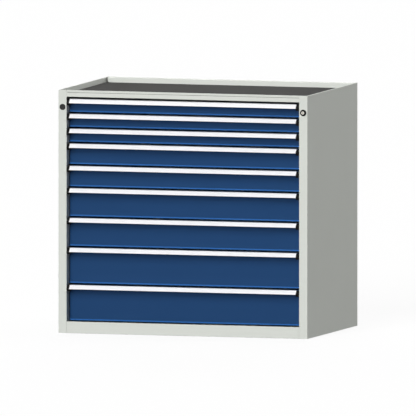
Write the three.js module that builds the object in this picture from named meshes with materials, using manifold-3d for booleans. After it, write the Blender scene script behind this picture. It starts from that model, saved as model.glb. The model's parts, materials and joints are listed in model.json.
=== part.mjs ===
// Industrial drawer cabinet: a sheet-steel carcass with nine full-width drawers on roller runners, a rimmed top
// with a rubber mat, and a central lock whose bar holds every drawer shut.
// Millimetres, +Z up, drawers open towards -Y, origin under the middle of the cabinet.
import * as THREE from "three";
import { mergeVertices } from "three/addons/utils/BufferGeometryUtils.js";
import Module from "manifold-3d";

const wasm = await Module();
wasm.setup();

// Driving sizes of the whole cabinet
const cabinetWidth = 1046;
const carcassDepth = 690; // from the front faces of the posts to the back
const handleReach = 10; // how far the handles stand in front of the posts
const moduleHeight = 30; // height step of the drawer fronts
const pitchShares = [2, 2, 2, 3, 3, 4, 4, 5, 5]; // height of each front with its gap, in modules, top first
const seatGap = 0.3; // running or seating clearance between two pieces
const overrun = 1; // how far a cutting shape runs past what it cuts
const weldDistance = 1e-4; // corners closer than this are one corner
const roundSides = 24; // faces round the lock and the plug
const rollerSides = 12; // faces round a roller
const axleSides = 8;
const bendSteps = 3; // faces round a bend

// Carcass
const sheet = 2;
const bendRadius = 1;
const postWidth = 35;
const postDepth = 36;
const plinthHeight = 47;
const plinthFoot = 30; // depth of the flange that the plinth stands on
const plinthSkirt = 18; // drop of the plinth's rear lip
const sillGap = 3.5; // from the plinth to the lowest front
const headGap = 7.7; // from the uppermost front to the top rail
const frontGap = 5; // from one front to the next
const railHeight = 16.8;
const rimSeam = 1.5; // joint between the top rail and the rim of the top
const rimStrip = 8.5;
const hemWidth = 2; // folded edge inside the side walls' top
const backLedge = 38; // flat ledge behind the hollow of the top
const ledgeSideGap = 4; // open joint from the ledge to each side wall
const edgeFlange = 25; // inward flanges at the back and foot of the side walls
const baseDrop = 15; // from the top of the plinth down to the top of the base
const matThickness = 2;

// Slotted uprights inside the side walls
const uprightReach = 18; // how far they stand in from the side wall
const uprightWidth = 42;
const frontUprightSetback = 22; // behind the posts
const rearUprightSetback = 58; // ahead of the back of the cabinet
const uprightFootGap = 8; // above the base

// Drawer fronts
const frontRecess = 35; // behind the posts' front faces
const frontSheet = 1.5;
const frontSideGap = 2;
const frontFlange = 13;
const lipHeight = 4; // outward fold along the lower edge
const lipReach = 3.5;

// Handle strips and their end caps
const handleTopDepth = 32; // from the front to the strip's upper edge
const handleDrop = 17.6; // height of the sloping face
const handleTopFall = 3; // drop of the top web from the upper edge to the front
const handleWeb = 2.5; // thickness of the top web
const handleWall = 3.4; // thickness of the sloping wall, measured level
const beadDepth = 6.5; // finger bead under the sloping wall
const beadHeight = 1.6;
const beadRise = 2.5;
const rearFlangeDrop = 20;
const handleRounding = 1.5;
const capWidth = 11;
const capDrop = 26.6;
const capNose = 5;
const capTail = 14;
const capRounding = 4;
const capSideGap = 1;

// Drawer boxes
const boxDepth = 590;
const boxSheet = 1.5;
const runnerSpace = 59; // from the side wall to the box
const boxFloorRise = 3; // above the lower edge of the front
const boxTopDrop = 6; // below the upper edge of the front
const boxHem = 5; // outward fold along the box's upper edge

// Roller runners: heights are above the lower edge of the drawer's front
const railBottom = 6;
const railSection = 34;
const railWall = 2;
const railInset = 5; // behind the front upright's front face
const railLowerReach = 30.7;
const railUpperReach = 26.7;
const slideHeight = 32; // underside of the drawer's side rail
const slideReach = 25;
const slideLip = 6;
const slideFrontInset = 2; // behind the front upright's front face
const slideRearInset = 7; // ahead of the box's rear wall
const rollerRadius = 11;
const rollerWidth = 10;
const rollerOffset = 12; // from the box to the roller
const rollerEndInset = 14; // from the end of its rail to the roller's axle
const axleRadius = 4;
const hookHeight = 18;
const hookThickness = 3;
const hookReach = 5;
const hookRise = 8; // above the rail's lower edge
const slotClearance = 0.3;

// Central lock in the right post
const lockDrop = 68.5; // below the top of the cabinet
const lockFlangeRadius = 13;
const lockFlangeThickness = 3.5;
const lockBarrelRadius = 10;
const lockBarrelEnd = 4; // behind the post
const lockBoreRadius = 7;
const lockNutWall = 4; // from the barrel out to the nut's corners
const lockNutSides = 6;
const lockNutThickness = 3.4;
const lockBevel = 1.2;
const coreClearance = 0.3;
const coreReach = 9; // in front of the post
const coreEnd = 6; // behind the post
const keySlotWidth = 1.8;
const keySlotHeight = 8;
const keySlotDepth = 4;
const camThickness = 2;
const camRadius = 6;
const camArm = 8.5; // from the lock's axis to the pin
const camPinRadius = 2.5;
const camStartDegrees = -45; // below the level towards the drawers
const barWidth = 20;
const barThickness = 3;
const barOffset = 22; // from the box to the bar's inner edge, beside the catches
const barSlotClearance = 0.6;
const barSlotMargin = 0.5;
const barHead = 25; // above the lock's axis
const barFoot = 3; // below the lowest tab
const tabHeight = 4;
const tabRise = 2; // above the lower edge of the front
const tabReach = 14;
const catchThickness = 2;
const catchRise = 12; // above the lower edge of the front

// Blind plug in the left post
const plugRadius = 12.5;
const plugThickness = 2.5;
const plugDishRadius = 8;
const plugDishDepth = 1;
const plugShankRadius = 9;
const plugShankLength = 8;

// Levels and faces that follow from the sizes above
const fullDepth = carcassDepth + handleReach;
const postFrontY = handleReach - fullDepth / 2;
const backY = fullDepth / 2;
const postBackY = postFrontY + postDepth;
const sideX = cabinetWidth / 2;
const wallX = sideX - sheet;
const jambX = sideX - postWidth;
const postMiddleX = sideX - postWidth / 2;
const stackModules = pitchShares.reduce((sum, share) => sum + share, 0);
const stackBottom = plinthHeight + sillGap;
const openingTop = stackBottom + stackModules * moduleHeight - frontGap + headGap;
const railTop = openingTop + railHeight;
const rimBottom = railTop + rimSeam;
const cabinetHeight = rimBottom + rimStrip;
const deckBottom = openingTop + sheet + seatGap;
const deckTop = deckBottom + sheet;
const postTop = deckBottom - seatGap;
const hollowBackY = backY - backLedge;
const trayFrontY = postFrontY + sheet + seatGap;
const baseHeight = plinthHeight - baseDrop;
const baseFloor = baseHeight - sheet;
const frontY = postFrontY + frontRecess;
const frontX = jambX - frontSideGap;
const capX = jambX - capSideGap;
const boxX = wallX - runnerSpace;
const boxFrontY = frontY + frontFlange + seatGap;
const boxBackY = boxFrontY + boxDepth;
const uprightX = wallX - uprightReach;
const frontUprightY = postBackY + frontUprightSetback;
const rearUprightY = backY - rearUprightSetback - uprightWidth;
const railX = uprightX - seatGap;
const railFrontY = frontUprightY + railInset;
const railBackY = rearUprightY + uprightWidth;
const frontRollerY = railFrontY + rollerEndInset;
const rearRollerY = boxBackY - rollerEndInset;
const lockZ = cabinetHeight - lockDrop;
const barBackY = frontUprightY - seatGap;
const barFrontY = barBackY - barThickness;
const barX = boxX + barOffset + camPinRadius * 2;
const camAngle = THREE.MathUtils.degToRad(camStartDegrees);
const camPinX = postMiddleX - camArm * Math.cos(camAngle);
const camPinZ = lockZ + camArm * Math.sin(camAngle);

// Each drawer's number, counted from the top, with the lower edge and height of its front
const drawers = pitchShares.map((share, index) => {
  const modulesAbove = pitchShares.slice(0, index + 1).reduce((sum, each) => sum + each, 0);
  return {
    number: index + 1,
    bottom: stackBottom + (stackModules - modulesAbove) * moduleHeight,
    height: share * moduleHeight - frontGap,
  };
});

const material = (color, roughness, metalness) =>
  new THREE.MeshStandardMaterial({ color, roughness, metalness });
const greyPaint = material(0xd6d9d3, 0.55, 0);
const bluePaint = material(0x1c4f8c, 0.45, 0);
const boxPaint = material(0xc9ccc8, 0.5, 0);
const anodised = material(0xf1f1f4, 0.35, 0.6);
const zincSteel = material(0xb9bcc0, 0.4, 0.9);
const blackPlastic = material(0x16171a, 0.4, 0);
const blackRubber = material(0x565655, 0.85, 0);
const nickel = material(0xc6c8ca, 0.25, 1);

// A closed geometry as a solid that can be joined and cut
function solid(geometry) {
  geometry.deleteAttribute("normal");
  geometry.deleteAttribute("uv");
  const welded = mergeVertices(geometry, weldDistance);
  return new wasm.Manifold(
    new wasm.Mesh({
      numProp: 3,
      vertProperties: welded.attributes.position.array,
      triVerts: new Uint32Array(welded.index.array),
    }),
  );
}

const joined = (...solids) => solids.reduce((whole, next) => whole.add(next));

function box([x0, x1], [y0, y1], [z0, z1]) {
  const geometry = new THREE.BoxGeometry(x1 - x0, y1 - y0, z1 - z0);
  geometry.translate((x0 + x1) / 2, (y0 + y1) / 2, (z0 + z1) / 2);
  return solid(geometry);
}

// An outline through [a, b] corners; a third number rounds the corner by that much
function outline(corners) {
  const shape = new THREE.Shape();
  corners.forEach(([a, b, rounding = 0], index) => {
    const corner = new THREE.Vector2(a, b);
    const towards = ([otherA, otherB]) =>
      new THREE.Vector2(otherA - a, otherB - b).setLength(rounding).add(corner);
    const start = towards(corners.at(index - 1));
    const end = towards(corners[(index + 1) % corners.length]);
    if (index) shape.lineTo(start.x, start.y);
    else shape.moveTo(start.x, start.y);
    if (rounding) shape.quadraticCurveTo(a, b, end.x, end.y);
  });
  return shape;
}

function extruded(corners, from, to) {
  const geometry = new THREE.ExtrudeGeometry(outline(corners), {
    depth: to - from,
    bevelEnabled: false,
    curveSegments: bendSteps,
  });
  return geometry.translate(0, 0, from);
}

// A plan outline of [x, y] corners, standing from one height to another
const upright = (corners, [z0, z1]) => solid(extruded(corners, z0, z1));

// A side outline of [y, z] corners, running from one x to another
function lengthways(corners, [x0, x1]) {
  const turn = new THREE.Matrix4().makeBasis(
    new THREE.Vector3(0, 1, 0),
    new THREE.Vector3(0, 0, 1),
    new THREE.Vector3(1, 0, 0),
  );
  return solid(extruded(corners, x0, x1).applyMatrix4(turn));
}

// A round bar along Y or along X
function barAlongY(radius, x, [y0, y1], z, sides = roundSides) {
  const geometry = new THREE.CylinderGeometry(radius, radius, y1 - y0, sides);
  return solid(geometry.translate(x, (y0 + y1) / 2, z));
}

function barAlongX(radius, [x0, x1], y, z, sides) {
  const geometry = new THREE.CylinderGeometry(radius, radius, x1 - x0, sides);
  geometry.rotateZ(Math.PI / 2);
  return solid(geometry.translate((x0 + x1) / 2, y, z));
}

// A closed [radius, y] profile turned about an axis along Y through x, z
function turned(profile, x, z) {
  const points = [...profile, profile[0]].map(([radius, y]) => new THREE.Vector2(radius, y));
  return solid(new THREE.LatheGeometry(points, roundSides).translate(x, 0, z));
}

// A range of x on one side of the cabinet: side is 1 on the right and -1 on the left
const across = (side, inner, outer) => (side > 0 ? [inner, outer] : [-outer, -inner]);
const mirrored = (side, corners) => corners.map(([x, y, rounding]) => [side * x, y, rounding]);

function named(name, manifold, finish) {
  const { numProp, numVert, vertProperties, triVerts } = manifold.getMesh();
  const positions = new Float32Array(numVert * 3);
  for (let i = 0; i < numVert; i++) {
    positions.set(vertProperties.subarray(i * numProp, i * numProp + 3), i * 3);
  }
  const geometry = new THREE.BufferGeometry();
  geometry.setAttribute("position", new THREE.BufferAttribute(positions, 3));
  geometry.setIndex(new THREE.BufferAttribute(triVerts, 1));
  geometry.computeVertexNormals();
  const mesh = new THREE.Mesh(geometry, finish);
  mesh.name = name;
  return mesh;
}

// The front post: a folded box of sheet, open below, whose front face and side run up to the rim
function frontPost(side) {
  const corners = mirrored(side, [
    [jambX, postFrontY, bendRadius],
    [sideX, postFrontY, bendRadius],
    [sideX, postBackY],
    [jambX, postBackY],
  ]);
  const tubeCore = box(
    across(side, jambX + sheet, wallX),
    [postFrontY + sheet, postBackY - sheet],
    [-overrun, postTop + overrun],
  );
  const faceCore = box(
    across(side, jambX - overrun, wallX),
    [postFrontY + sheet, postBackY + overrun],
    [postTop - overrun * 2, cabinetHeight + overrun],
  );
  const tube = upright(corners, [0, postTop]).subtract(tubeCore);
  return tube.add(upright(corners, [postTop - overrun, cabinetHeight]).subtract(faceCore));
}

const hookMiddle = (uprightFace) => uprightFace + uprightWidth / 2;

// A slotted upright welded inside the side wall; the runners hook into its slots
function slottedUpright(side, y0) {
  const y1 = y0 + uprightWidth;
  const height = [baseHeight + uprightFootGap, postTop];
  const skin = box(across(side, uprightX, wallX + sheet / 2), [y0, y1], height);
  const core = box(
    across(side, uprightX + sheet, wallX),
    [y0 + sheet, y1 - sheet],
    [height[0] - overrun, height[1] + overrun],
  );
  return drawers.reduce((channel, drawer) => {
    const slotBottom = drawer.bottom + railBottom + hookRise - slotClearance;
    const slot = box(
      across(side, uprightX - overrun, uprightX + sheet + overrun),
      [hookMiddle(y0) - hookThickness / 2 - slotClearance, hookMiddle(y0) + hookThickness / 2 + slotClearance],
      [slotBottom, slotBottom + hookHeight + slotClearance * 2],
    );
    return channel.subtract(slot);
  }, skin.subtract(core));
}

function sidePanel(side) {
  const flangeX = wallX - edgeFlange;
  const wall = upright(
    mirrored(side, [
      [wallX, postBackY - overrun],
      [sideX, postBackY - overrun],
      [sideX, backY, bendRadius],
      [flangeX, backY],
      [flangeX, backY - sheet],
      [wallX, backY - sheet],
    ]),
    [0, cabinetHeight],
  );
  const footFlange = box(across(side, flangeX, wallX + sheet / 2), [postBackY, backY], [0, sheet]);
  const hem = box(
    across(side, wallX - hemWidth, wallX + sheet / 2),
    [trayFrontY + sheet + seatGap, backY - sheet * 2 - seatGap],
    [deckTop + seatGap, cabinetHeight],
  );
  const holeRadius = (side > 0 ? lockBarrelRadius : plugShankRadius) + seatGap;
  const holeEnd = side > 0 ? postBackY + overrun : postFrontY + sheet + overrun;
  const hole = barAlongY(holeRadius, side * postMiddleX, [postFrontY - overrun, holeEnd], lockZ);
  return joined(
    frontPost(side),
    wall,
    footFlange,
    hem,
    slottedUpright(side, frontUprightY),
    slottedUpright(side, rearUprightY),
  ).subtract(hole);
}

// The back with its flat ledge and the drop that closes the hollow of the top
function backPanel() {
  const outerY = backY - sheet - seatGap;
  const ledgeX = wallX - hemWidth - ledgeSideGap;
  const plateX = wallX - seatGap;
  const plate = box([-plateX, plateX], [outerY - sheet, outerY], [sheet + seatGap, deckBottom]);
  const cover = lengthways(
    [
      [outerY, deckBottom - overrun],
      [outerY, cabinetHeight],
      [hollowBackY, cabinetHeight, bendRadius],
      [hollowBackY, deckBottom],
      [hollowBackY + sheet, deckBottom],
      [hollowBackY + sheet, cabinetHeight - sheet],
      [outerY - sheet, cabinetHeight - sheet],
      [outerY - sheet, deckBottom - overrun],
    ],
    [-ledgeX, ledgeX],
  );
  return joined(plate, cover);
}

// The base: a shallow pan turned upside down on the side walls' foot flanges
function basePanel() {
  const x = wallX - seatGap;
  const y0 = postBackY + seatGap;
  const y1 = backY - sheet * 2 - seatGap * 2;
  const pan = box([-x, x], [y0, y1], [sheet + seatGap, baseHeight]);
  const hollow = box([sheet - x, x - sheet], [y0 + sheet, y1 - sheet], [0, baseFloor]);
  return pan.subtract(hollow);
}

// The plinth: a front face whose upper edge is folded double, stepped down to the level of the base behind it
function plinth() {
  const rearY = postBackY;
  const hemY = postFrontY + sheet * 2;
  return lengthways(
    [
      [postFrontY, 0],
      [postFrontY, plinthHeight, bendRadius],
      [hemY, plinthHeight],
      [hemY, baseHeight],
      [rearY, baseHeight],
      [rearY, baseHeight - plinthSkirt],
      [rearY - sheet, baseHeight - plinthSkirt],
      [rearY - sheet, baseHeight - sheet],
      [postFrontY + sheet, baseHeight - sheet],
      [postFrontY + sheet, sheet],
      [postFrontY + plinthFoot, sheet],
      [postFrontY + plinthFoot, 0],
    ],
    [seatGap - jambX, jambX - seatGap],
  );
}

function topRail() {
  return lengthways(
    [
      [postFrontY, openingTop, bendRadius],
      [postFrontY, railTop],
      [postFrontY + sheet, railTop],
      [postFrontY + sheet, openingTop + sheet],
      [postBackY, openingTop + sheet],
      [postBackY, openingTop],
    ],
    [seatGap - jambX, jambX - seatGap],
  );
}

// The deck with the front wall that carries the rim
function topTray() {
  const deckX = wallX - seatGap;
  const deck = box([-deckX, deckX], [trayFrontY, hollowBackY - seatGap], [deckBottom, deckTop]);
  const wall = box([-deckX, deckX], [trayFrontY, trayFrontY + sheet], [deckBottom, cabinetHeight]);
  const rim = lengthways(
    [
      [postFrontY, rimBottom],
      [postFrontY, cabinetHeight, sheet / 2],
      [trayFrontY + sheet / 2, cabinetHeight],
      [trayFrontY + sheet / 2, rimBottom],
    ],
    [seatGap - jambX, jambX - seatGap],
  );
  return joined(deck, wall, rim);
}

function rubberMat() {
  const x = wallX - hemWidth - seatGap;
  return box(
    [-x, x],
    [trayFrontY + sheet + seatGap, hollowBackY - seatGap],
    [deckTop + seatGap, deckTop + seatGap + matThickness],
  );
}

// A drawer front: a folded pan with a lip along its lower edge; its own height starts at 0
function drawerFront(height) {
  const backEdge = frontY + frontFlange;
  const block = lengthways(
    [
      [frontY - lipReach, 0],
      [frontY - lipReach, lipHeight - lipReach],
      [frontY, lipHeight],
      [frontY, height],
      [backEdge, height],
      [backEdge, 0],
    ],
    [-frontX, frontX],
  );
  const hollow = box(
    [frontSheet - frontX, frontX - frontSheet],
    [frontY + frontSheet, backEdge + overrun],
    [frontSheet, height - frontSheet],
  );
  return block.subtract(hollow);
}

// The handle: a channel open below, with a sloping face, closed by a cap at each end; its upper face is at 0
function handle() {
  const backFace = frontY - seatGap;
  const topEdge = frontY - handleTopDepth;
  const noseY = postFrontY - handleReach;
  const slope = (topEdge - noseY) / handleDrop;
  const innerY = (drop) => topEdge - slope * drop + handleWall;
  const beadTop = handleDrop + beadHeight - beadRise;
  const noseRounding = Math.min(handleRounding, beadHeight / 3);
  const strip = lengthways(
    [
      [backFace, -handleTopFall],
      [topEdge, 0, handleRounding],
      [noseY, -handleDrop, noseRounding],
      [noseY, -handleDrop - beadHeight, noseRounding],
      [noseY + beadDepth, -handleDrop - beadHeight],
      [noseY + beadDepth, -beadTop],
      [innerY(beadTop), -beadTop],
      [innerY(handleWeb), -handleWeb],
      [backFace - handleWeb, -handleTopFall - handleWeb],
      [backFace - handleWeb, -rearFlangeDrop],
      [backFace, -rearFlangeDrop],
    ],
    [capWidth / 2 - capX, capX - capWidth / 2],
  );
  const caps = [1, -1].map((side) =>
    lengthways(
      [
        [backFace, -handleTopFall],
        [topEdge, 0, capRounding],
        [noseY, -handleDrop, capRounding],
        [noseY + capNose, -capDrop, capRounding],
        [backFace - capTail, -capDrop, capRounding],
        [backFace, -rearFlangeDrop, handleRounding],
      ],
      across(side, capX - capWidth, capX),
    ),
  );
  return joined(strip, ...caps);
}

// A roller on its axle, held from heldX at the axle's end
function roller(side, heldX, y, z) {
  const near = boxX + rollerOffset;
  const far = near + rollerWidth;
  const middle = (near + far) / 2;
  return joined(
    barAlongX(rollerRadius, across(side, near, far), y, z, rollerSides),
    barAlongX(axleRadius, across(side, Math.min(heldX, middle), Math.max(heldX, middle)), y, z, axleSides),
  );
}

// The drawer box with its side rails and rear rollers; its front wall closes the pan of the front, and its own
// height starts at the front's lower edge
function drawerBox(height) {
  const top = height - boxTopDrop;
  const shell = box([-boxX, boxX], [boxFrontY, boxBackY], [boxFloorRise, top]);
  const inside = box(
    [boxSheet - boxX, boxX - boxSheet],
    [boxFrontY + boxSheet, boxBackY - boxSheet],
    [boxFloorRise + boxSheet, top + overrun],
  );
  const frontWall = box([-frontX, frontX], [boxFrontY, boxFrontY + boxSheet], [0, height]);
  const inner = boxX - boxSheet / 2;
  const outer = boxX + slideReach;
  const slideTop = slideHeight + railWall;
  const along = [frontUprightY + slideFrontInset, boxBackY - slideRearInset];
  const rollerZ = railBottom + railWall + seatGap + rollerRadius;
  const rails = [1, -1].map((side) =>
    joined(
      box(across(side, inner, outer), along, [slideHeight, slideTop]),
      box(across(side, outer - railWall, outer), along, [slideTop - slideLip, slideTop]),
      box(across(side, inner, boxX + boxHem), [boxFrontY, boxBackY], [top - boxSheet, top]),
      roller(side, inner, rearRollerY, rollerZ),
    ),
  );
  const catchPlate = box(
    [inner, outer],
    [frontUprightY, frontUprightY + catchThickness],
    [catchRise, slideTop],
  );
  return joined(shell.subtract(inside), frontWall, ...rails, catchPlate);
}

// A runner: a channel hooked onto both uprights of one side, with a roller at its front end
function runner(side) {
  const top = railBottom + railSection;
  const along = [railFrontY, railBackY];
  const hooks = [frontUprightY, rearUprightY].map((uprightFace) =>
    box(
      across(side, railX - railWall / 2, railX + hookReach),
      [hookMiddle(uprightFace) - hookThickness / 2, hookMiddle(uprightFace) + hookThickness / 2],
      [railBottom + hookRise, railBottom + hookRise + hookHeight],
    ),
  );
  return joined(
    box(across(side, railX - railWall, railX), along, [railBottom, top]),
    box(across(side, railX - railLowerReach, railX), along, [railBottom, railBottom + railWall]),
    box(across(side, railX - railUpperReach, railX), along, [top - railWall, top]),
    roller(side, railX - railWall / 2, frontRollerY, slideHeight - seatGap - rollerRadius),
    ...hooks,
  );
}

function lockHousing() {
  const seatY = postFrontY - seatGap;
  const faceY = seatY - lockFlangeThickness;
  const endY = postBackY + lockBarrelEnd;
  return turned(
    [
      [lockBoreRadius, faceY],
      [lockFlangeRadius - lockBevel, faceY],
      [lockFlangeRadius, faceY + lockBevel],
      [lockFlangeRadius, seatY],
      [lockBarrelRadius, seatY],
      [lockBarrelRadius, endY],
      [lockBoreRadius, endY],
    ],
    postMiddleX,
    lockZ,
  );
}

// The nut that holds the housing behind the post
function lockNut() {
  const radius = lockBarrelRadius + lockNutWall;
  const thickness = [postBackY + seatGap, postBackY + seatGap + lockNutThickness];
  const bore = barAlongY(
    lockBarrelRadius + seatGap,
    postMiddleX,
    [thickness[0] - overrun, thickness[1] + overrun],
    lockZ,
  );
  return barAlongY(radius, postMiddleX, thickness, lockZ, lockNutSides).subtract(bore);
}

function lockCylinder() {
  const radius = lockBoreRadius - coreClearance;
  const faceY = postFrontY - coreReach;
  const core = barAlongY(radius, postMiddleX, [faceY, postBackY + coreEnd], lockZ);
  const keySlot = box(
    [postMiddleX - keySlotWidth / 2, postMiddleX + keySlotWidth / 2],
    [faceY - overrun, faceY + keySlotDepth],
    [lockZ - keySlotHeight / 2, lockZ + keySlotHeight / 2],
  );
  return core.subtract(keySlot);
}

// The cam behind the lock: a plate from the axis to the pin that lifts the bar
function lockCam() {
  const camFrontY = postBackY + coreEnd + seatGap;
  const plate = [camFrontY, camFrontY + camThickness];
  const middleX = (postMiddleX + camPinX) / 2;
  const middleZ = (lockZ + camPinZ) / 2;
  return joined(
    barAlongY(camRadius, postMiddleX, plate, lockZ),
    barAlongY(camRadius, middleX, plate, middleZ),
    barAlongY(camPinRadius, camPinX, [camFrontY, barBackY - seatGap], camPinZ),
  );
}

// The lock bar: a flat bar with a slot for the cam's pin and a tab in front of each drawer's catch
function lockBar() {
  const lowest = drawers.at(-1).bottom + tabRise;
  const thickness = [barFrontY, barBackY];
  const slotWidth = camPinRadius + barSlotMargin;
  const slotHeight = camPinRadius + barSlotClearance;
  const bar = box([barX, barX + barWidth], thickness, [lowest - barFoot, lockZ + barHead]);
  const slot = box(
    [postMiddleX - camArm - slotWidth, camPinX + slotWidth],
    [barFrontY - overrun, barBackY + overrun],
    [camPinZ - slotHeight, camPinZ + slotHeight],
  );
  const tabs = drawers.map(({ bottom }) =>
    box([barX - tabReach, barX + overrun], thickness, [bottom + tabRise, bottom + tabRise + tabHeight]),
  );
  return joined(bar.subtract(slot), ...tabs);
}

function blindPlug() {
  const seatY = postFrontY - seatGap;
  const faceY = seatY - plugThickness;
  return turned(
    [
      [0, faceY + plugDishDepth],
      [plugDishRadius, faceY + plugDishDepth],
      [plugDishRadius, faceY],
      [plugRadius - lockBevel, faceY],
      [plugRadius, faceY + lockBevel],
      [plugRadius, seatY],
      [plugShankRadius, seatY],
      [plugShankRadius, seatY + plugShankLength],
      [0, seatY + plugShankLength],
    ],
    -postMiddleX,
    lockZ,
  );
}

function carcass() {
  const group = new THREE.Group();
  group.add(
    named("side_panel_left", sidePanel(-1), greyPaint),
    named("side_panel_right", sidePanel(1), greyPaint),
    named("back_panel", backPanel(), greyPaint),
    named("base_panel", basePanel(), greyPaint),
    named("plinth", plinth(), greyPaint),
    named("top_rail", topRail(), greyPaint),
    named("top_tray", topTray(), greyPaint),
    named("rubber_mat", rubberMat(), blackRubber),
    named("blind_plug", blindPlug(), blackPlastic),
  );
  return group;
}

function centralLock() {
  const group = new THREE.Group();
  group.add(
    named("lock_housing", lockHousing(), blackPlastic),
    named("lock_nut", lockNut(), zincSteel),
    named("lock_cylinder", lockCylinder(), nickel),
    named("lock_cam", lockCam(), zincSteel),
    named("lock_bar", lockBar(), zincSteel),
  );
  return group;
}

// One drawer and its pair of runners, raised to the lower edge of its front
function drawerSet({ number, bottom, height }) {
  const group = new THREE.Group();
  const grip = named(`drawer_${number}_handle`, handle(), anodised);
  grip.position.z = height;
  group.add(
    named(`drawer_${number}_box`, drawerBox(height), boxPaint),
    named(`drawer_${number}_front`, drawerFront(height), bluePaint),
    grip,
    named(`runner_${number}_left`, runner(-1), zincSteel),
    named(`runner_${number}_right`, runner(1), zincSteel),
  );
  group.position.z = bottom;
  return group;
}

const cabinet = new THREE.Group();
cabinet.add(carcass(), centralLock(), ...drawers.map(drawerSet));

export default cabinet;
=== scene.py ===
import json
import math

import bmesh
import bpy
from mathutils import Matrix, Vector

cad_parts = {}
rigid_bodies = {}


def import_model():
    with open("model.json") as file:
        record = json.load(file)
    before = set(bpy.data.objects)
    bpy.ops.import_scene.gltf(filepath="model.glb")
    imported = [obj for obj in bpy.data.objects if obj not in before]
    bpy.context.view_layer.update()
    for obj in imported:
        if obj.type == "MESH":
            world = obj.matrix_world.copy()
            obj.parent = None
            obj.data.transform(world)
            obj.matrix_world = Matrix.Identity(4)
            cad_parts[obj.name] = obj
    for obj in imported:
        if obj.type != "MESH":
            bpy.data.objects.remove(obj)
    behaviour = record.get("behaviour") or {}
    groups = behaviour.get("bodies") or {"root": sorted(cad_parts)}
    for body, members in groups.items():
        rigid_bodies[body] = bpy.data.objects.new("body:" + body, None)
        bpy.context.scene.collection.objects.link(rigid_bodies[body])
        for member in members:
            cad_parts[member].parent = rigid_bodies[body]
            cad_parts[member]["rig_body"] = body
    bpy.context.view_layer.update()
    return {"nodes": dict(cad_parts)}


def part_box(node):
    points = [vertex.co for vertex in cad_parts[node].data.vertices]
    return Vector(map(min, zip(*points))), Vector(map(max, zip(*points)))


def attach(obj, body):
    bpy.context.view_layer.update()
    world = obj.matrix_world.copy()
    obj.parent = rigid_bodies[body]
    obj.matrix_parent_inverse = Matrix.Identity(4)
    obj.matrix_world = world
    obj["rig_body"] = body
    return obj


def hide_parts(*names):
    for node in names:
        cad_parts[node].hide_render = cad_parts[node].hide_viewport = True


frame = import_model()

print("frame loaded with", len(frame["nodes"]), "nodes")


# Shader maths: a Wire is a socket that takes part in Python sums and products
class Wire:
    def __init__(self, nodes, socket):
        self.nodes = nodes
        self.socket = socket

    def __add__(self, other):
        return self.nodes.sum("ADD", self, other)

    def __mul__(self, other):
        return self.nodes.sum("MULTIPLY", self, other)

    __radd__ = __add__
    __rmul__ = __mul__


class Nodes:
    def __init__(self, owner):
        owner.use_nodes = True
        self.tree = owner.node_tree

    def feed(self, socket, value):
        if isinstance(value, Wire):
            self.tree.links.new(value.socket, socket)
        else:
            socket.default_value = value

    # one node: its type, its settings, what goes into its sockets, and the output that is used
    def add(self, kind, settings=None, sockets=None, output=0):
        made = self.tree.nodes.new(kind)
        for key, value in (settings or {}).items():
            setattr(made, key, value)
        for key, value in (sockets or {}).items():
            self.feed(made.inputs[key], value)
        return Wire(self, made.outputs[output])

    def sum(self, operation, a, b):
        return self.add("ShaderNodeMath", {"operation": operation}, {0: a, 1: b})

    def place(self, stretch=(1, 1, 1)):
        spot = self.add("ShaderNodeTexCoord", output="Object")
        return self.add("ShaderNodeMapping", {}, {"Vector": spot, "Scale": stretch})

    def noise(self, spot, scale, detail=2.0):
        return self.add("ShaderNodeTexNoise", {}, {"Vector": spot, "Scale": scale, "Detail": detail})

    def blend(self, share, a, b):
        return self.add("ShaderNodeMix", {"data_type": "RGBA"}, {0: share, 6: a, 7: b}, output=2)

    def bump(self, height, strength, distance):
        sockets = {"Height": height, "Strength": strength, "Distance": distance}
        return self.add("ShaderNodeBump", {}, sockets)

    def shade(self, **sockets):
        shader = self.tree.nodes["Principled BSDF"]
        for key, value in sockets.items():
            self.feed(shader.inputs[key.replace("_", " ")], value)


def colour(red, green, blue):
    return (red, green, blue, 1.0)


# Powder coat: a fine orange-peel grain and a slow drift of colour and gloss
def powderCoat(name, look):
    material = bpy.data.materials.new(name)
    nodes = Nodes(material)
    spot = nodes.place()
    grain = nodes.noise(spot, look["grainScale"], look["grainDetail"])
    drift = nodes.noise(spot, look["driftScale"])
    peel = nodes.noise(spot, look["peelScale"], look["peelDetail"])
    nodes.shade(
        Base_Color=nodes.blend(drift, look["colour"], look["driftColour"]),
        Roughness=grain * look["roughSpread"] + look["roughness"],
        Normal=nodes.bump(grain + peel * look["peelShare"], look["grainStrength"], look["grainHeight"]),
        Specular_IOR_Level=look["specular"],
    )
    return material


greyCoat = {
    "colour": colour(0.650, 0.672, 0.628),
    "driftColour": colour(0.668, 0.690, 0.648),
    "grainScale": 1500.0,
    "grainDetail": 3.0,
    "driftScale": 4.0,
    "peelScale": 420.0,
    "peelDetail": 1.0,
    "peelShare": 0.8,
    "roughness": 0.54,
    "roughSpread": 0.14,
    "grainStrength": 0.25,
    "grainHeight": 0.00006,
    "specular": 0.07,
}
blueCoat = dict(
    greyCoat,
    colour=colour(0.0123, 0.0463, 0.1280),
    driftColour=colour(0.0133, 0.0494, 0.1370),
    roughness=0.42,
    specular=0.16,
)
# Painted highlight: a lighter blue for the lower lip of each front, standing in for the light that the
# lip catches
lipHighlightCoat = dict(
    blueCoat,
    colour=colour(0.028, 0.120, 0.355),
    driftColour=colour(0.030, 0.127, 0.375),
)
boxCoat = dict(
    greyCoat,
    colour=colour(0.600, 0.620, 0.590),
    driftColour=colour(0.620, 0.640, 0.610),
)
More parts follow.
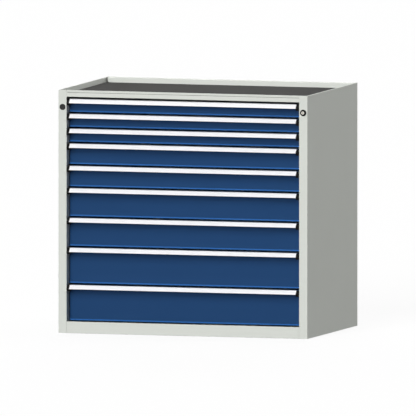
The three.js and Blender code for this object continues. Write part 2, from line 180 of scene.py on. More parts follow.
# Painted shade: a dark grey for the faces seen through the joint over the top rail, standing in for the
# shade inside it
jointShadeCoat = dict(
    greyCoat,
    colour=colour(0.200, 0.206, 0.194),
    driftColour=colour(0.215, 0.221, 0.208),
)
greyPaint = powderCoat("greyPowderCoat", greyCoat)
bluePaint = powderCoat("bluePowderCoat", blueCoat)
lipHighlightPaint = powderCoat("bluePaintedLipHighlight", lipHighlightCoat)
boxPaint = powderCoat("drawerPowderCoat", boxCoat)
jointShadePaint = powderCoat("greyJointPaintedShade", jointShadeCoat)


# Metals: streaks along one axis, and small differences in gloss
def streakedMetal(name, look):
    material = bpy.data.materials.new(name)
    nodes = Nodes(material)
    streaks = nodes.noise(nodes.place(look["stretch"]), look["streakScale"], look["streakDetail"])
    clouds = nodes.noise(nodes.place(), look["cloudScale"])
    nodes.shade(
        Base_Color=nodes.blend(clouds, look["colour"], look["cloudColour"]),
        Metallic=look["metallic"],
        Roughness=streaks * look["roughSpread"] + look["roughness"],
        Normal=nodes.bump(streaks, look["streakStrength"], look["streakHeight"]),
    )
    return material


anodisedLook = {
    "colour": colour(0.90, 0.90, 0.92),
    "cloudColour": colour(0.87, 0.87, 0.89),
    "metallic": 0.65,
    "stretch": (1.0, 60.0, 60.0),
    "streakScale": 45.0,
    "streakDetail": 4.0,
    "cloudScale": 6.0,
    "roughness": 0.30,
    "roughSpread": 0.16,
    "streakStrength": 0.12,
    "streakHeight": 0.00003,
}
zincLook = {
    "colour": colour(0.60, 0.62, 0.66),
    "cloudColour": colour(0.70, 0.69, 0.62),
    "metallic": 0.95,
    "stretch": (30.0, 1.0, 30.0),
    "streakScale": 30.0,
    "streakDetail": 4.0,
    "cloudScale": 22.0,
    "roughness": 0.32,
    "roughSpread": 0.22,
    "streakStrength": 0.10,
    "streakHeight": 0.00004,
}
nickelLook = dict(
    zincLook,
    colour=colour(0.60, 0.585, 0.53),
    cloudColour=colour(0.68, 0.66, 0.60),
    roughness=0.20,
    roughSpread=0.10,
    stretch=(1.0, 8.0, 1.0),
    streakScale=400.0,
)
anodised = streakedMetal("anodisedAluminium", anodisedLook)
zincSteel = streakedMetal("zincPlatedSteel", zincLook)
nickel = streakedMetal("nickelPlate", nickelLook)


# Plastics, rubber and card: a moulded grain and a slow drift
def moulded(name, look):
    material = bpy.data.materials.new(name)
    nodes = Nodes(material)
    spot = nodes.place()
    grain = nodes.noise(spot, look["grainScale"], look["grainDetail"])
    drift = nodes.noise(spot, look["driftScale"])
    nodes.shade(
        Base_Color=nodes.blend(drift * look["driftShare"], look["colour"], look["driftColour"]),
        Roughness=grain * look["roughSpread"] + look["roughness"],
        Normal=nodes.bump(grain, look["grainStrength"], look["grainHeight"]),
        Specular_IOR_Level=look["specular"],
        Coat_Weight=look["coat"],
    )
    return material


plasticLook = {
    "colour": colour(0.0050, 0.0050, 0.0056),
    "driftColour": colour(0.0075, 0.0075, 0.0080),
    "driftShare": 1.0,
    "grainScale": 1800.0,
    "grainDetail": 3.0,
    "driftScale": 12.0,
    "roughness": 0.45,
    "roughSpread": 0.15,
    "grainStrength": 0.20,
    "grainHeight": 0.00005,
    "specular": 0.08,
    "coat": 0.0,
}
plugLook = dict(
    plasticLook,
    colour=colour(0.034, 0.034, 0.034),
    driftColour=colour(0.042, 0.042, 0.042),
)
rubberLook = dict(
    plasticLook,
    colour=colour(0.083, 0.083, 0.081),
    driftColour=colour(0.094, 0.093, 0.091),
    grainScale=900.0,
    driftScale=7.0,
    roughness=0.72,
    roughSpread=0.18,
    grainHeight=0.00012,
    specular=0.0,
)
cardLook = dict(
    plasticLook,
    colour=colour(0.86, 0.86, 0.88),
    driftColour=colour(0.84, 0.84, 0.86),
    grainScale=600.0,
    grainStrength=0.05,
    coat=0.35,
)
blackPlastic = moulded("mouldedBlackPlastic", plasticLook)
plugPlastic = moulded("plugPlastic", plugLook)
matRubber = moulded("ribbedRubber", rubberLook)
labelCard = moulded("blankLabelCard", cardLook)
print("finishes made")


# How close counts as the same: metres, and shares of a full match in direction
within = {
    "weld": 1e-6,
    "corner": 2e-6,
    "plane": 1e-5,
    "rear": 1e-4,
    "facing": 0.9,
    "squareOn": 0.99,
}


def newVerts(geometry):  # the corners in what an operator gave back
    return [part for part in geometry if isinstance(part, bmesh.types.BMVert)]


def cornersOf(faces):
    return list({vert for face in faces for vert in face.verts})


# Mesh helpers
def bar(corners, along, span):  # a bar of one section; corners leave out the axis that it runs along
    mesh = bmesh.new()
    axis = "xyz".index(along)
    ring = []
    for corner in corners:
        spot = list(corner)
        spot.insert(axis, span[0])
        ring.append(mesh.verts.new(spot))
    pulled = bmesh.ops.extrude_face_region(mesh, geom=[mesh.faces.new(ring)])["geom"]
    reach = Vector((0, 0, 0))
    reach[axis] = span[1] - span[0]
    bmesh.ops.translate(mesh, vec=reach, verts=newVerts(pulled))
    bmesh.ops.recalc_face_normals(mesh, faces=mesh.faces)
    return mesh


def block(x, y, z):  # a box between three pairs of places
    mesh = bmesh.new()
    bmesh.ops.create_cube(mesh, size=1)
    size = [b - a for a, b in (x, y, z)]
    middle = [(a + b) / 2 for a, b in (x, y, z)]
    bmesh.ops.scale(mesh, vec=size, verts=mesh.verts)
    bmesh.ops.translate(mesh, vec=middle, verts=mesh.verts)
    return mesh


def nearEnough(a, b):
    return all(abs(m - n) < within["corner"] for m, n in zip(a, b))


def longEdges(mesh, along, corners):  # the edges that run along an axis through these corners
    axis = "xyz".index(along)
    found = []
    for edge in mesh.edges:
        a, b = (list(v.co) for v in edge.verts)
        del a[axis], b[axis]
        if nearEnough(a, b) and any(nearEnough(a, corner) for corner in corners):
            found.append(edge)
    return found


def edgesAt(mesh, axis, level):  # the edges that lie in the plane across an axis
    at = "xyz".index(axis)
    return [
        edge for edge in mesh.edges
        if all(abs(v.co[at] - level) < within["weld"] for v in edge.verts)
    ]


def rounded(mesh, edges, radius, steps):
    bmesh.ops.bevel(
        mesh, geom=edges, offset=radius, offset_type="OFFSET", segments=steps, profile=0.5,
        affect="EDGES", material=-1, clamp_overlap=True,
    )
    return mesh


def sharpEdges(mesh, degrees=50.0):
    return [edge for edge in mesh.edges if edge.calc_face_angle(0.0) > math.radians(degrees)]


# A profile of radius and place, spun about an axis that runs along Y or X
def turned(profile, centre, steps=64, along="y"):
    mesh = bmesh.new()
    across, z = centre
    points = []
    for radius, place in profile:
        points.append((across + radius, place, z) if along == "y" else (place, across + radius, z))
    closed = points[0] == points[-1]
    if closed:
        points.pop()
    verts = [mesh.verts.new(point) for point in points]
    for a, b in zip(verts, verts[1:] + (verts[:1] if closed else [])):
        mesh.edges.new((a, b))
    bmesh.ops.spin(
        mesh, geom=mesh.verts[:] + mesh.edges[:],
        cent=(across, 0, z) if along == "y" else (0, across, z),
        axis=(0, 1, 0) if along == "y" else (1, 0, 0),
        angle=math.tau, steps=steps, use_merge=True,
    )
    bmesh.ops.remove_doubles(mesh, verts=mesh.verts, dist=within["weld"])
    bmesh.ops.recalc_face_normals(mesh, faces=mesh.faces)
    return mesh


def gathered(*parts):  # several meshes as one
    whole = bmesh.new()
    for part in parts:
        held = bpy.data.meshes.new("held")
        part.to_mesh(held)
        part.free()
        whole.from_mesh(held)
        bpy.data.meshes.remove(held)
    return whole


# Makes the object: stands are the nodes that it stands for, and second is the finish of its
# faces with material index 1
def finished(name, mesh, finish, body, stands=(), smoothUnder=50.0, second=None):
    for edge in mesh.edges:
        edge.smooth = edge.calc_face_angle(math.pi) < math.radians(smoothUnder)
    for face in mesh.faces:
        face.smooth = True
    data = bpy.data.meshes.new(name)
    mesh.to_mesh(data)
    mesh.free()
    piece = bpy.data.objects.new(name, data)
    bpy.context.scene.collection.objects.link(piece)
    data.materials.append(finish)
    if second:
        data.materials.append(second)
    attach(piece, body)
    if stands:
        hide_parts(*stands)
    even = piece.modifiers.new("evenShading", "WEIGHTED_NORMAL")  # keeps flat faces flat at their edges
    even.mode = "FACE_AREA"
    even.weight = 100
    even.keep_sharp = True
    return piece


def mirrorX(corners):
    return [(-x, z) for x, z in corners]


# Camera: a parallel view from the right of the front and a little above
view = {
    "turn": 16.945,  # degrees to the right of the front
    "tilt": 4.688,  # degrees above level
    "width": 1.6718,  # metres across the picture
    "aside": 0.00163,  # metres to the right of the origin, across the view
    "height": 0.48767,  # metres above it, up the view
    "distance": 8.0,
    "reach": 100.0,  # metres that it sees
}
cameraData = bpy.data.cameras.new("camera")
cameraData.type = "ORTHO"
cameraData.ortho_scale = view["width"]
cameraData.clip_end = view["reach"]
camera = bpy.data.objects.new("camera", cameraData)
camera.rotation_euler = (math.radians(90 - view["tilt"]), 0, math.radians(view["turn"]))
viewTurn = camera.rotation_euler.to_matrix()
camera.location = viewTurn @ Vector((view["aside"], view["height"], view["distance"]))
bpy.context.scene.collection.objects.link(camera)
bpy.context.scene.camera = camera
bpy.context.scene.view_settings.view_transform = "Standard"

# Carcass: every CAD sheet with its folds bent and its cut edges eased
eased = {
    "width": 0.0004,
    "steps": 2,
    "fold": 0.0012,  # outer radius of a fold
    "foldSteps": 3,
    "foldLength": 0.30,  # shortest edge that counts as a fold
    "foldWidth": 0.0060,  # least width of the sheet on both sides of it
    "flatUnder": 0.5,  # degrees between faces that are one
    "jointDepth": 0.0050,  # of the joint over the top rail
}
leftPost = {  # its inner edge, and what meets it there, stands a little aside
    "shift": 0.0010,
    "sheet": 0.0028,  # how far it reaches to the left of the top rail's end
    "joint": 0.0010,  # and to its right
    "depth": 0.0370,
}
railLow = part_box("top_rail")[0]


def isFold(edge):  # an outward corner between two wide faces
    length = edge.calc_length()
    if length < eased["foldLength"] or not edge.is_convex:
        return False
    return all(face.calc_area() / length > eased["foldWidth"] for face in edge.link_faces)


# A copy of a CAD node with its folds bent; hidden gives the depths between which the faces that look to
# the front lie in a joint, and these take a dark grey as painted shade
def easedCopy(node, finish, hidden=None):
    mesh = bmesh.new()
    mesh.from_mesh(frame["nodes"][node].data)
    bmesh.ops.remove_doubles(mesh, verts=mesh.verts, dist=within["weld"])
    bmesh.ops.dissolve_limit(
        mesh, angle_limit=math.radians(eased["flatUnder"]), verts=mesh.verts, edges=mesh.edges)
    folds = [edge for edge in sharpEdges(mesh) if isFold(edge)]
    rounded(mesh, folds, eased["fold"], eased["foldSteps"])
    rounded(mesh, sharpEdges(mesh), eased["width"], eased["steps"])
    bmesh.ops.dissolve_degenerate(mesh, dist=within["weld"], edges=mesh.edges)
    postBack = railLow.y + leftPost["depth"]
    postEdge = [
        v for v in mesh.verts
        if -leftPost["sheet"] < v.co.x - railLow.x < leftPost["joint"] and v.co.y < postBack
    ]
    bmesh.ops.translate(mesh, vec=(-leftPost["shift"], 0, 0), verts=postEdge)
    if hidden:
        # faces in the joint take the dark grey of the painted shade
        for face in mesh.faces:
            depth = face.calc_center_median().y
            inJoint = face.normal.y < -within["facing"] and hidden[0] < depth < hidden[1]
            face.material_index = int(inJoint)
    bodyName = frame["nodes"][node]["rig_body"]
    finished(node + "_sheet", mesh, finish, bodyName, [node], second=hidden and jointShadePaint)


for node in ("side_panel_left", "side_panel_right", "back_panel", "base_panel", "plinth", "top_rail"):
    easedCopy(node, greyPaint)
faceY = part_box("top_tray")[0].y
easedCopy("top_tray", greyPaint, (faceY + eased["width"] * 2, faceY + eased["jointDepth"]))
print("carcass sheets made")

# Rubber mat with ribs along the cabinet
mat = {
    "ribPitch": 0.0050,
    "ribShare": 0.62,  # of the pitch that is rib
    "ribHeight": 0.0009,
    "smoothUnder": 20.0,
}
low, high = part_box("rubber_mat")
ribs = round((high.y - low.y) / mat["ribPitch"])
ribbed = bmesh.new()
bmesh.ops.create_grid(ribbed, x_segments=1, y_segments=ribs, size=0.5)
bmesh.ops.scale(ribbed, vec=(high.x - low.x, high.y - low.y, 1), verts=ribbed.verts)
bmesh.ops.translate(
    ribbed, vec=(0, (low.y + high.y) / 2, high.z - mat["ribHeight"]), verts=ribbed.verts)
tops = ribbed.faces[:]
bmesh.ops.inset_individual(
    ribbed, faces=tops, thickness=mat["ribPitch"] * (1 - mat["ribShare"]) / 2)
bmesh.ops.translate(ribbed, vec=(0, 0, mat["ribHeight"]), verts=cornersOf(tops))
rim = [edge for edge in ribbed.edges if edge.is_boundary]
skirt = bmesh.ops.extrude_edge_only(ribbed, edges=rim)["geom"]
for vert in newVerts(skirt):
    vert.co.z = low.z
bmesh.ops.holes_fill(ribbed, edges=[edge for edge in ribbed.edges if edge.is_boundary], sides=0)
bmesh.ops.recalc_face_normals(ribbed, faces=ribbed.faces)
finished("ribbed_mat", ribbed, matRubber, "cabinet", ["rubber_mat"], mat["smoothUnder"])
print("mat made with", ribs, "ribs")

# Drawer fronts: folded sheet with an outward lip along the lower edge
front = {
    "sheet": 0.0015,
    "lipReach": 0.0035,
    "lipHeight": 0.0038,
    "lipFoot": 0.0012,  # height of its upright edge
    "lipEdge": 0.0005,
    "lipBend": 0.0016,
    "bend": 0.0016,
    "bendSteps": 4,
    "edgeSteps": 3,
    "paintedHighlightFrom": 0.0001875,  # faces this far ahead of the sheet's face, on the lip, take the painted highlight
    "topDrop": 0.0028,  # of the sheet's upper edge below that of the grip strip
}


def drawerFront(number):
    node = f"drawer_{number}_front"
    low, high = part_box(node)
    high.z -= front["topDrop"]
    face = low.y + front["lipReach"]
    lipCorner = (low.y, low.z + front["lipFoot"])
    bendCorner = (face, low.z + front["lipHeight"])
    topCorner = (face, high.z)
    mesh = bar(
        [(low.y, low.z), lipCorner, bendCorner, topCorner, (high.y, high.z), (high.y, low.z)],
        "x", (low.x, high.x))
    lipEdges = [lipCorner, (low.y, low.z)]
    rounded(mesh, longEdges(mesh, "x", [bendCorner]), front["lipBend"], front["bendSteps"])
    rounded(mesh, longEdges(mesh, "x", lipEdges), front["lipEdge"], front["edgeSteps"])
    outer = [
        edge for edge in sharpEdges(mesh)
        if all(v.co.y < high.y - within["rear"] and v.co.z > bendCorner[1] for v in edge.verts)
    ]
    rounded(mesh, outer, front["bend"], front["bendSteps"])
    rear = [
        f for f in mesh.faces
        if f.normal.y > within["squareOn"] and f.calc_center_median().y > high.y - within["plane"]
    ]
    bmesh.ops.inset_region(mesh, faces=rear, thickness=front["sheet"], use_even_offset=True)
    hollow = high.y - face - front["sheet"]
    bmesh.ops.translate(mesh, vec=(0, -hollow, 0), verts=cornersOf(rear))
    # the lip's faces, ahead of the sheet's face, take the lighter blue: a painted highlight for the
    # light that falls on the lip
    for fold in mesh.faces:
        fold.material_index = int(fold.calc_center_median().y < face - front["paintedHighlightFrom"])
    finished(
        f"drawer_{number}_blue_front", mesh, bluePaint, f"drawer_{number}", [node],
        second=lipHighlightPaint)


# Grip strips: a hollow extrusion with a recess for a blank label, closed by a black cap at each end
grip = {
    "topDepth": 0.0317,  # from the front's sheet to the upper edge of the sloping face
    "topDrop": 0.0006,
    "topFall": 0.0030,
    "faceDrop": 0.0162,  # height of the sloping face
    "noseHeight": 0.0006,
    "beadDepth": 0.0065,
    "beadRise": 0.0025,
    "wall": 0.0034,  # of the sloping face, measured level
    "web": 0.0025,
    "rearDrop": 0.0200,
    "edge": 0.0010,
    "edgeSteps": 4,
    "noseEdge": 0.0002,
    "noseSteps": 3,
    "noseTuck": 0.0003,
    "recess": 0.0010,  # depth of the seat of the label
    "recessFrom": 0.16,  # shares of the sloping face
    "recessTo": 0.84,
    "labelPlay": 0.0002,
    "creaseWidth": 0.0007,
    "creaseDepth": 0.0005,
    "capWidth": 0.0110,
    "capNose": 0.0050,
    "capTail": 0.0140,
    "capRounding": 0.0040,
    "capSteps": 5,
    "capRearRounding": 0.0015,
    "capEdge": 0.0012,
    "capEdgeSteps": 3,
}


def gripStrip(number):
    node = f"drawer_{number}_handle"
    low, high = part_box(node)
    body = f"drawer_{number}"
    back, top = high.y, high.z - grip["topDrop"]
    upper = Vector((back - grip["topDepth"], top))
    nose = Vector((low.y, top - grip["faceDrop"]))
    outward = Vector((nose.y - upper.y, upper.x - nose.x)).normalized()

    def onFace(share, lift=0.0):  # a point on the sloping face, lifted off it
        return tuple(upper.lerp(nose, share) + outward * lift)

    def innerWall(drop):
        return upper.x + (nose.x - upper.x) * drop / grip["faceDrop"] + grip["wall"]

    noseEnd = nose.y - grip["noseHeight"]
    beadTop = noseEnd + grip["beadRise"]
    start, end = grip["recessFrom"], grip["recessTo"]
    rearTop = top - grip["topFall"]
    section = [
        (back, rearTop),
        tuple(upper),
        onFace(start),
        onFace(start, -grip["recess"]),
        onFace(end, -grip["recess"]),
        onFace(end),
        tuple(nose),
        (low.y, noseEnd),
        (low.y + grip["beadDepth"], noseEnd),
        (low.y + grip["beadDepth"], beadTop),
        (innerWall(top - beadTop), beadTop),
        (innerWall(grip["web"]), top - grip["web"]),
        (back - grip["web"], rearTop - grip["web"]),
        (back - grip["web"], top - grip["rearDrop"]),
        (back, top - grip["rearDrop"]),
    ]
    stripX = high.x - grip["capWidth"]
    strip = bar(section, "x", (-stripX, stripX))
    for corners, radius, steps in (
        ([tuple(upper), *section[8:10]], grip["edge"], grip["edgeSteps"]),
        ([tuple(nose)], grip["noseEdge"], grip["noseSteps"]),
        ([section[7]], grip["noseTuck"], grip["edgeSteps"]),
    ):
        rounded(strip, longEdges(strip, "x", corners), radius, steps)
    finished(f"drawer_{number}_grip_strip", strip, anodised, body, [node])

    slope = (upper - nose).length
    play, crease = grip["labelPlay"] / slope, grip["creaseWidth"] / slope
    middle = (start + end) / 2
    bottom, surface = grip["labelPlay"] - grip["recess"], -grip["labelPlay"]
    label = bar(
        [
            onFace(start + play, bottom),
            onFace(end - play, bottom),
            onFace(end - play, surface),
            onFace(middle + crease, surface),
            onFace(middle, surface - grip["creaseDepth"]),
            onFace(middle - crease, surface),
            onFace(start + play, surface),
        ],
        "x", (grip["labelPlay"] - stripX, stripX - grip["labelPlay"]))
    finished(f"drawer_{number}_label", label, labelCard, body)

    capCorners = [
        (back, rearTop),
        tuple(upper),
        tuple(nose),
        (low.y + grip["capNose"], low.z),
        (back - grip["capTail"], low.z),
        (back, top - grip["rearDrop"]),
    ]
    for sideName, span in (("left", (-high.x, -stripX)), ("right", (stripX, high.x))):
        cap = bar(capCorners, "x", span)
        rounded(cap, longEdges(cap, "x", capCorners[1:5]), grip["capRounding"], grip["capSteps"])
        rounded(cap, longEdges(cap, "x", capCorners[5:]), grip["capRearRounding"], grip["capEdgeSteps"])
        outerX = span[0] if sideName == "left" else span[1]
        rounded(cap, edgesAt(cap, "x", outerX), grip["capEdge"], grip["capEdgeSteps"])
        finished(f"drawer_{number}_cap_{sideName}", cap, blackPlastic, body, [node])


numbers = sorted(int(name.split("_")[1]) for name in frame["nodes"] if name.endswith("_front"))
for number in numbers:
    drawerFront(number)
    gripStrip(number)
print("fronts, grip strips, labels and end caps made for", len(numbers), "drawers")

# Drawer boxes: slotted walls on a floor, with a folded upper edge, side rails and rear rollers
drawerBox = {
    "sheet": 0.0015,
    "floorRise": 0.0030,
    "topDrop": 0.0060,
    "wallHalf": 0.4620,  # half the width over the side walls
    "slotPitch": 0.0170,
    "slotLand": 0.0070,  # solid sheet round each slot
    "hem": 0.0050,
    "frontWallDrop": 0.0035,
    "railBottom": 0.0320,
    "railSheet": 0.0020,
    "railLip": 0.0060,
    "railFront": 0.0120,  # behind the front wall
    "railRear": 0.0070,
    "rollerRise": 0.0193,
    "rollerInset": 0.0140,
    "tabPlay": 0.0010,  # of the front wall's ends inside the side rails
    "catchFront": 0.0097,  # behind the front wall
    "catchBottom": 0.0120,
    "catchSheet": 0.0020,
    "edge": 0.0004,
    "edgeSteps": 2,
    "bend": 0.0008,
    "bendSteps": 3,
}
rollerShape = {
    "radius": 0.0110,
    "near": 0.0120,  # from the drawer's side wall
    "width": 0.0100,
    "axle": 0.0040,
    "crown": 0.0012,
    "hub": 0.0065,
    "steps": 40,
    "pinSteps": 24,
}


def slottedWall(across, level, thickness, along, heights):  # across is the axis that the wall faces
    mesh = bmesh.new()
    length, height = along[1] - along[0], heights[1] - heights[0]
    columns = round(length / drawerBox["slotPitch"])
    bmesh.ops.create_grid(mesh, x_segments=columns, y_segments=1, size=0.5)
    cells = mesh.faces[:]
    bmesh.ops.scale(mesh, vec=(length, height, 1), verts=mesh.verts)
    bmesh.ops.inset_individual(mesh, faces=cells, thickness=drawerBox["slotLand"])
    bmesh.ops.delete(mesh, geom=cells, context="FACES")
    pulled = bmesh.ops.extrude_face_region(mesh, geom=mesh.faces[:])["geom"]
    bmesh.ops.translate(mesh, vec=(0, 0, thickness), verts=newVerts(pulled))
    middle, bottom = (along[0] + along[1]) / 2, (heights[0] + heights[1]) / 2
    for vert in mesh.verts:
        run, rise, depth = vert.co
        place = (level + depth, middle + run) if across == "x" else (middle + run, level + depth)
        vert.co = (*place, bottom + rise)
    bmesh.ops.recalc_face_normals(mesh, faces=mesh.faces)
    return mesh


def easedBlock(x, y, z):
    mesh = block(x, y, z)
    return rounded(mesh, mesh.edges[:], drawerBox["edge"], drawerBox["edgeSteps"])


def roller(side, wallX, y, z, axleTo):  # side is 1 on the right and -1 on the left
    shape = rollerShape
    near, far = wallX + shape["near"], wallX + shape["near"] + shape["width"]
    crown = shape["crown"]
    tyre = turned(
        [
            (shape["axle"], near + crown),
            (shape["hub"], near + crown),
            (shape["hub"] + crown, near),
            (shape["radius"] - crown, near),
            (shape["radius"], near + crown),
            (shape["radius"], far - crown),
            (shape["radius"] - crown, far),
            (shape["hub"] + crown, far),
            (shape["hub"], far - crown),
            (shape["axle"], far - crown),
            (shape["axle"], near + crown),
        ],
        (y, z), shape["steps"], "x")
    start, end = min(wallX, axleTo), max(near + shape["width"] / 2, axleTo)
    pinProfile = [(0, start), (shape["axle"], start), (shape["axle"], end), (0, end)]
    pin = turned(pinProfile, (y, z), shape["pinSteps"], "x")
    if side < 0:
        for mesh in (tyre, pin):
            for vert in mesh.verts:
                vert.co.x = -vert.co.x
            bmesh.ops.reverse_faces(mesh, faces=mesh.faces)
    return tyre, pin


def buildDrawerBox(number):
    node = f"drawer_{number}_box"
    body = f"drawer_{number}"
    size = drawerBox
    low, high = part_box(node)
    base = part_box(f"drawer_{number}_front")[0].z
    sheet, wallX, outer = size["sheet"], size["wallHalf"], high.x
    floorZ, top = base + size["floorRise"], high.z - size["topDrop"]
    insideX, insideY = wallX - sheet, (low.y + sheet, high.y - sheet)
    wallZ = (floorZ + sheet, top - sheet)
    frontTop = high.z - size["frontWallDrop"]
    frontWall = (low.y, low.y + sheet)
    parts = [
        easedBlock((-wallX, wallX), (low.y + sheet, high.y), (floorZ, floorZ + sheet)),
        slottedWall("y", low.y, sheet, (-insideX, insideX), (floorZ + sheet, frontTop)),
        slottedWall("y", insideY[1], sheet, (-insideX, insideX), (floorZ + sheet, top)),
    ]
    for side in (1, -1):
        def across(a, b):
            return (a, b) if side > 0 else (-b, -a)

        parts.append(block(across(insideX, outer - size["tabPlay"]), frontWall, (base, frontTop)))
        parts.append(slottedWall("x", across(insideX, wallX)[0], sheet, insideY, wallZ))
        parts.append(easedBlock(
            across(insideX, wallX + size["hem"]), (low.y + sheet, high.y), (top - sheet, top)))
        railTop = base + size["railBottom"] + size["railSheet"]
        section = [
            (wallX, railTop),
            (outer, railTop),
            (outer, railTop - size["railLip"]),
            (outer - size["railSheet"], railTop - size["railLip"]),
            (outer - size["railSheet"], railTop - size["railSheet"]),
            (wallX, railTop - size["railSheet"]),
        ]
        corners = section if side > 0 else mirrorX(section)
        rail = bar(corners, "y", (low.y + size["railFront"], high.y - size["railRear"]))
        rounded(rail, longEdges(rail, "y", [corners[1], corners[4]]), size["bend"], size["bendSteps"])
        parts.append(rail)
        tyre, pin = roller(side, wallX, high.y - size["rollerInset"], base + size["rollerRise"], wallX)
        parts.append(pin)
        name = "right" if side > 0 else "left"
        finished(f"drawer_{number}_roller_{name}", tyre, blackPlastic, body, [node])
    catchY = low.y + size["catchFront"]
    parts.append(easedBlock(
        (wallX, outer), (catchY, catchY + size["catchSheet"]),
        (base + size["catchBottom"], base + size["railBottom"])))
    finished(f"drawer_{number}_tray", gathered(*parts), boxPaint, body, [node])


# Runners: a channel hooked onto the uprights, with a roller at its front end
runner = {
    "sheet": 0.0020,
    "lowerReach": 0.0307,
    "upperReach": 0.0267,
    "bend": 0.0018,
    "bendSteps": 3,
    "innerBend": 0.0006,
    "innerSteps": 2,
    "rollerInset": 0.0140,
    "rollerRise": 0.0147,  # above the channel's lower face
    "uprights": (-0.2610, 0.2710),  # depths at which it hooks onto the uprights
    "hookRise": 0.0080,
    "hookHeight": 0.0180,
    "hookSheet": 0.0030,
    "hookNotch": 0.0050,
    "hookTipShare": 0.4,  # of its reach that hangs behind the upright's slot
}


def buildRunner(number, side):
    name = "right" if side > 0 else "left"
    node = f"runner_{number}_{name}"
    size = runner
    low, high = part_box(node)
    inner = min(abs(low.x), abs(high.x))
    web = inner + size["lowerReach"]
    sheet = size["sheet"]
    section = [
        (inner, low.z),
        (web, low.z),
        (web, high.z),
        (web - size["upperReach"], high.z),
        (web - size["upperReach"], high.z - sheet),
        (web - sheet, high.z - sheet),
        (web - sheet, low.z + sheet),
        (inner, low.z + sheet),
    ]
    corners = section if side > 0 else mirrorX(section)
    channel = bar(corners, "y", (low.y, high.y))
    rounded(channel, longEdges(channel, "y", corners[1:3]), size["bend"], size["bendSteps"])
    rounded(channel, longEdges(channel, "y", corners[5:7]), size["innerBend"], size["innerSteps"])
    parts = [channel]
    reach = max(abs(low.x), abs(high.x))
    hookZ = low.z + size["hookRise"]
    tipX = reach - (reach - web) * size["hookTipShare"]
    hook = [
        (web, hookZ + size["hookNotch"]),
        (web, hookZ + size["hookHeight"]),
        (reach, hookZ + size["hookHeight"]),
        (reach, hookZ),
        (tipX, hookZ),
        (tipX, hookZ + size["hookNotch"]),
    ]
    hookCorners = hook if side > 0 else mirrorX(hook)
    half = size["hookSheet"] / 2
    for upright in size["uprights"]:
        parts.append(bar(hookCorners, "y", (upright - half, upright + half)))
    wallX = drawerBox["wallHalf"]
    axle = (low.y + size["rollerInset"], low.z + size["rollerRise"])
    tyre, pin = roller(side, wallX, *axle, web - sheet / 2)
    parts.append(pin)
    tyreName, channelName = f"runner_{number}_roller_{name}", f"runner_{number}_channel_{name}"
    finished(tyreName, tyre, blackPlastic, "cabinet", [node])
    finished(channelName, gathered(*parts), zincSteel, "cabinet", [node])


for number in numbers:
    buildDrawerBox(number)
    for side in (1, -1):
        buildRunner(number, side)
print("drawer boxes and runners made")

# Lock: a round black housing, and a core with a key slot
lock = {
    "flange": 0.0035,
    "mouth": 0.0006,  # chamfer round the bore
    "faceEdge": 0.00192,  # from the flange's face out to its edge
    "edgeSlope": 0.0006,
    "edgeFall": 0.00048,
    "edgeDepth": 0.00156,
    "barrel": 0.0100,
    "bore": 0.0070,
    "coreEdge": 0.0007,
    "coreSteps": 3,
    "slotWidth": 0.0018,  # of the key slot
    "slotHeight": 0.0080,
    "slotDepth": 0.0040,
    "slotTaper": 0.0001,
    "ringWidth": 0.0009,  # of the core's face round the part with the slot
    "steps": 48,
}
low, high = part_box("lock_housing")
centre = ((low.x + high.x) / 2, (low.z + high.z) / 2)
flangeRadius = (high.x - low.x) / 2
housing = turned(
    [
        (lock["bore"], high.y),
        (lock["bore"], low.y + lock["mouth"]),
        (lock["bore"] + lock["mouth"], low.y),
        (flangeRadius - lock["faceEdge"], low.y),
        (flangeRadius - lock["edgeSlope"], low.y + lock["edgeFall"]),
        (flangeRadius, low.y + lock["edgeDepth"]),
        (flangeRadius, low.y + lock["flange"]),
        (lock["barrel"], low.y + lock["flange"]),
        (lock["barrel"], high.y),
        (lock["bore"], high.y),
    ],
    centre)
finished("lock_ring", housing, blackPlastic, "cabinet", ["lock_housing"])

low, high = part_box("lock_cylinder")
coreRadius = (high.x - low.x) / 2
turns = [math.tau * step / lock["steps"] for step in range(lock["steps"])]
outline = [(coreRadius * math.cos(turn), coreRadius * math.sin(turn)) for turn in turns]
core = bar([(centre[0] + x, centre[1] + z) for x, z in outline], "y", (low.y, high.y))
rounded(core, edgesAt(core, "y", low.y), lock["coreEdge"], lock["coreSteps"])
inFront = [face for face in core.faces if face.calc_center_median().y < low.y + within["plane"]]
slotFace = max(inFront, key=lambda face: face.calc_area())
bmesh.ops.inset_region(core, faces=[slotFace], thickness=lock["ringWidth"], use_even_offset=True)
for vert in slotFace.verts:  # each is drawn in along its own ray to the outline of the key slot
    across, upward = vert.co.x - centre[0], vert.co.z - centre[1]
    reach = 0.5 / max(abs(across) / lock["slotWidth"], abs(upward) / lock["slotHeight"])
    vert.co.x, vert.co.z = centre[0] + across * reach, centre[1] + upward * reach
bmesh.ops.inset_region(core, faces=[slotFace], thickness=lock["slotTaper"], depth=-lock["slotDepth"])
finished("lock_core", core, nickel, "lock_cylinder", ["lock_cylinder"])

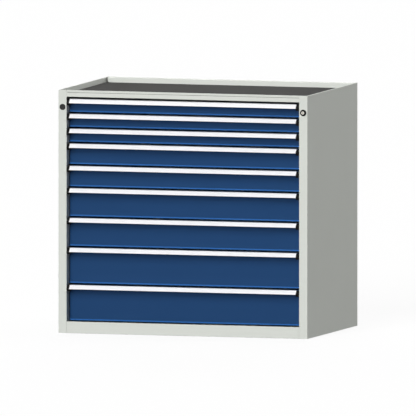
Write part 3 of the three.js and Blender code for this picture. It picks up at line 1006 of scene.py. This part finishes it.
# Blind plug: a shallow dish in a rounded rim
plug = {
    "rim": 0.0025,  # thickness
    "edgeDepth": 0.0012,
    "edgeSlope": 0.00048,
    "faceEdge": 0.00156,
    "dish": 0.0080,
    "dishLip": 0.0006,
    "dishStep": 0.0005,
    "dishSlope": 0.00096,
    "dishDepth": 0.0010,
    "shank": 0.0090,
}
low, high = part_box("blind_plug")
plugRadius = (high.x - low.x) / 2
plugCentre = ((low.x + high.x) / 2, (low.z + high.z) / 2)
dished = turned(
    [
        (0, high.y),
        (plug["shank"], high.y),
        (plug["shank"], low.y + plug["rim"]),
        (plugRadius, low.y + plug["rim"]),
        (plugRadius, low.y + plug["edgeDepth"]),
        (plugRadius - plug["edgeSlope"], low.y + plug["edgeSlope"]),
        (plugRadius - plug["faceEdge"], low.y),
        (plug["dish"] + plug["dishLip"], low.y),
        (plug["dish"], low.y + plug["dishStep"]),
        (plug["dish"] - plug["dishSlope"], low.y + plug["dishDepth"]),
        (0, low.y + plug["dishDepth"]),
    ],
    plugCentre)
finished("post_plug", dished, plugPlastic, "cabinet", ["blind_plug"])
print("lock and plug made")

# The remaining CAD nodes keep their shape and take their finish
for name, shown in frame["nodes"].items():
    if shown.hide_render:
        continue
    shown.data.materials.clear()
    shown.data.materials.append(zincSteel)

# Studio: a pale floor, a white surround for the camera and reflections, and soft lamps
studio = {
    "floorSize": 120.0,
    "floorColour": colour(0.03, 0.03, 0.03),
    "floorSeen": colour(0.97, 0.97, 0.97),
    "floorWhite": 0.90,  # share of plain white that the camera sees in the floor
    "floorRoughness": 0.9,
    "ambient": 0.07,
    "lampDistance": 4.0,
}
lamps = {  # direction towards the lamp, strength, width of the lamp in degrees, and whether it glints
    "lowLamp": ((-0.13, -1.00, 0.09), 1.06, 20.0, False),
    "frontLamp": ((-0.13, -1.00, 0.40), 1.42, 20.0, False),
    "highLamp": ((-0.13, -1.00, 0.80), 1.06, 20.0, False),
    "topLamp": ((-0.05, 0.15, 1.00), 0.95, 40.0, True),
    "sideLamp": ((1.00, 0.42, 0.12), 1.88, 40.0, True),
    "rearLamp": ((-0.30, 1.00, 0.25), 1.7, 40.0, True),
}
for lampName, (towards, strength, spread, glints) in lamps.items():
    lampData = bpy.data.lights.new(lampName, "SUN")
    lampData.energy = strength
    lampData.angle = math.radians(spread)
    lamp = bpy.data.objects.new(lampName, lampData)
    lamp.rotation_euler = Vector(towards).to_track_quat("Z", "Y").to_euler()
    lamp.location = Vector(towards) * studio["lampDistance"]
    lamp.visible_glossy = glints
    bpy.context.scene.collection.objects.link(lamp)


def seenDirectly(nodes):  # 1 for rays from the camera, a reflection or a pane
    straight, mirrored, through = [
        nodes.add("ShaderNodeLightPath", output=which)
        for which in ("Is Camera Ray", "Is Glossy Ray", "Is Transmission Ray")
    ]
    return nodes.sum("MINIMUM", straight + mirrored + through, 1.0)


world = bpy.data.worlds.new("studioWorld")
bpy.context.scene.world = world
sky = Nodes(world)
dim = sky.add("ShaderNodeBackground", {}, {"Color": colour(1, 1, 1), "Strength": studio["ambient"]})
white = sky.add("ShaderNodeBackground", {}, {"Color": colour(1, 1, 1), "Strength": 1.0})
sky.feed(
    sky.tree.nodes["World Output"].inputs["Surface"],
    sky.add("ShaderNodeMixShader", {}, {0: seenDirectly(sky), 1: dim, 2: white}))

floorMesh = bmesh.new()
bmesh.ops.create_grid(floorMesh, x_segments=1, y_segments=1, size=studio["floorSize"] / 2)
floorData = bpy.data.meshes.new("floor")
floorMesh.to_mesh(floorData)
floorMesh.free()
floor = bpy.data.objects.new("floor", floorData)
bpy.context.scene.collection.objects.link(floor)
floorFinish = bpy.data.materials.new("paleFloor")
pale = Nodes(floorFinish)
pale.shade(
    Base_Color=pale.blend(seenDirectly(pale), studio["floorColour"], studio["floorSeen"]),
    Roughness=studio["floorRoughness"], Specular_IOR_Level=0.0)
glow = pale.add("ShaderNodeEmission", {}, {"Color": colour(1, 1, 1), "Strength": 1.0})
surface = pale.add("ShaderNodeMixShader", {}, {
    0: seenDirectly(pale) * studio["floorWhite"],
    1: Wire(pale, pale.tree.nodes["Principled BSDF"].outputs[0]),
    2: glow,
})
pale.feed(pale.tree.nodes["Material Output"].inputs["Surface"], surface)
floorData.materials.append(floorFinish)
print("studio set")
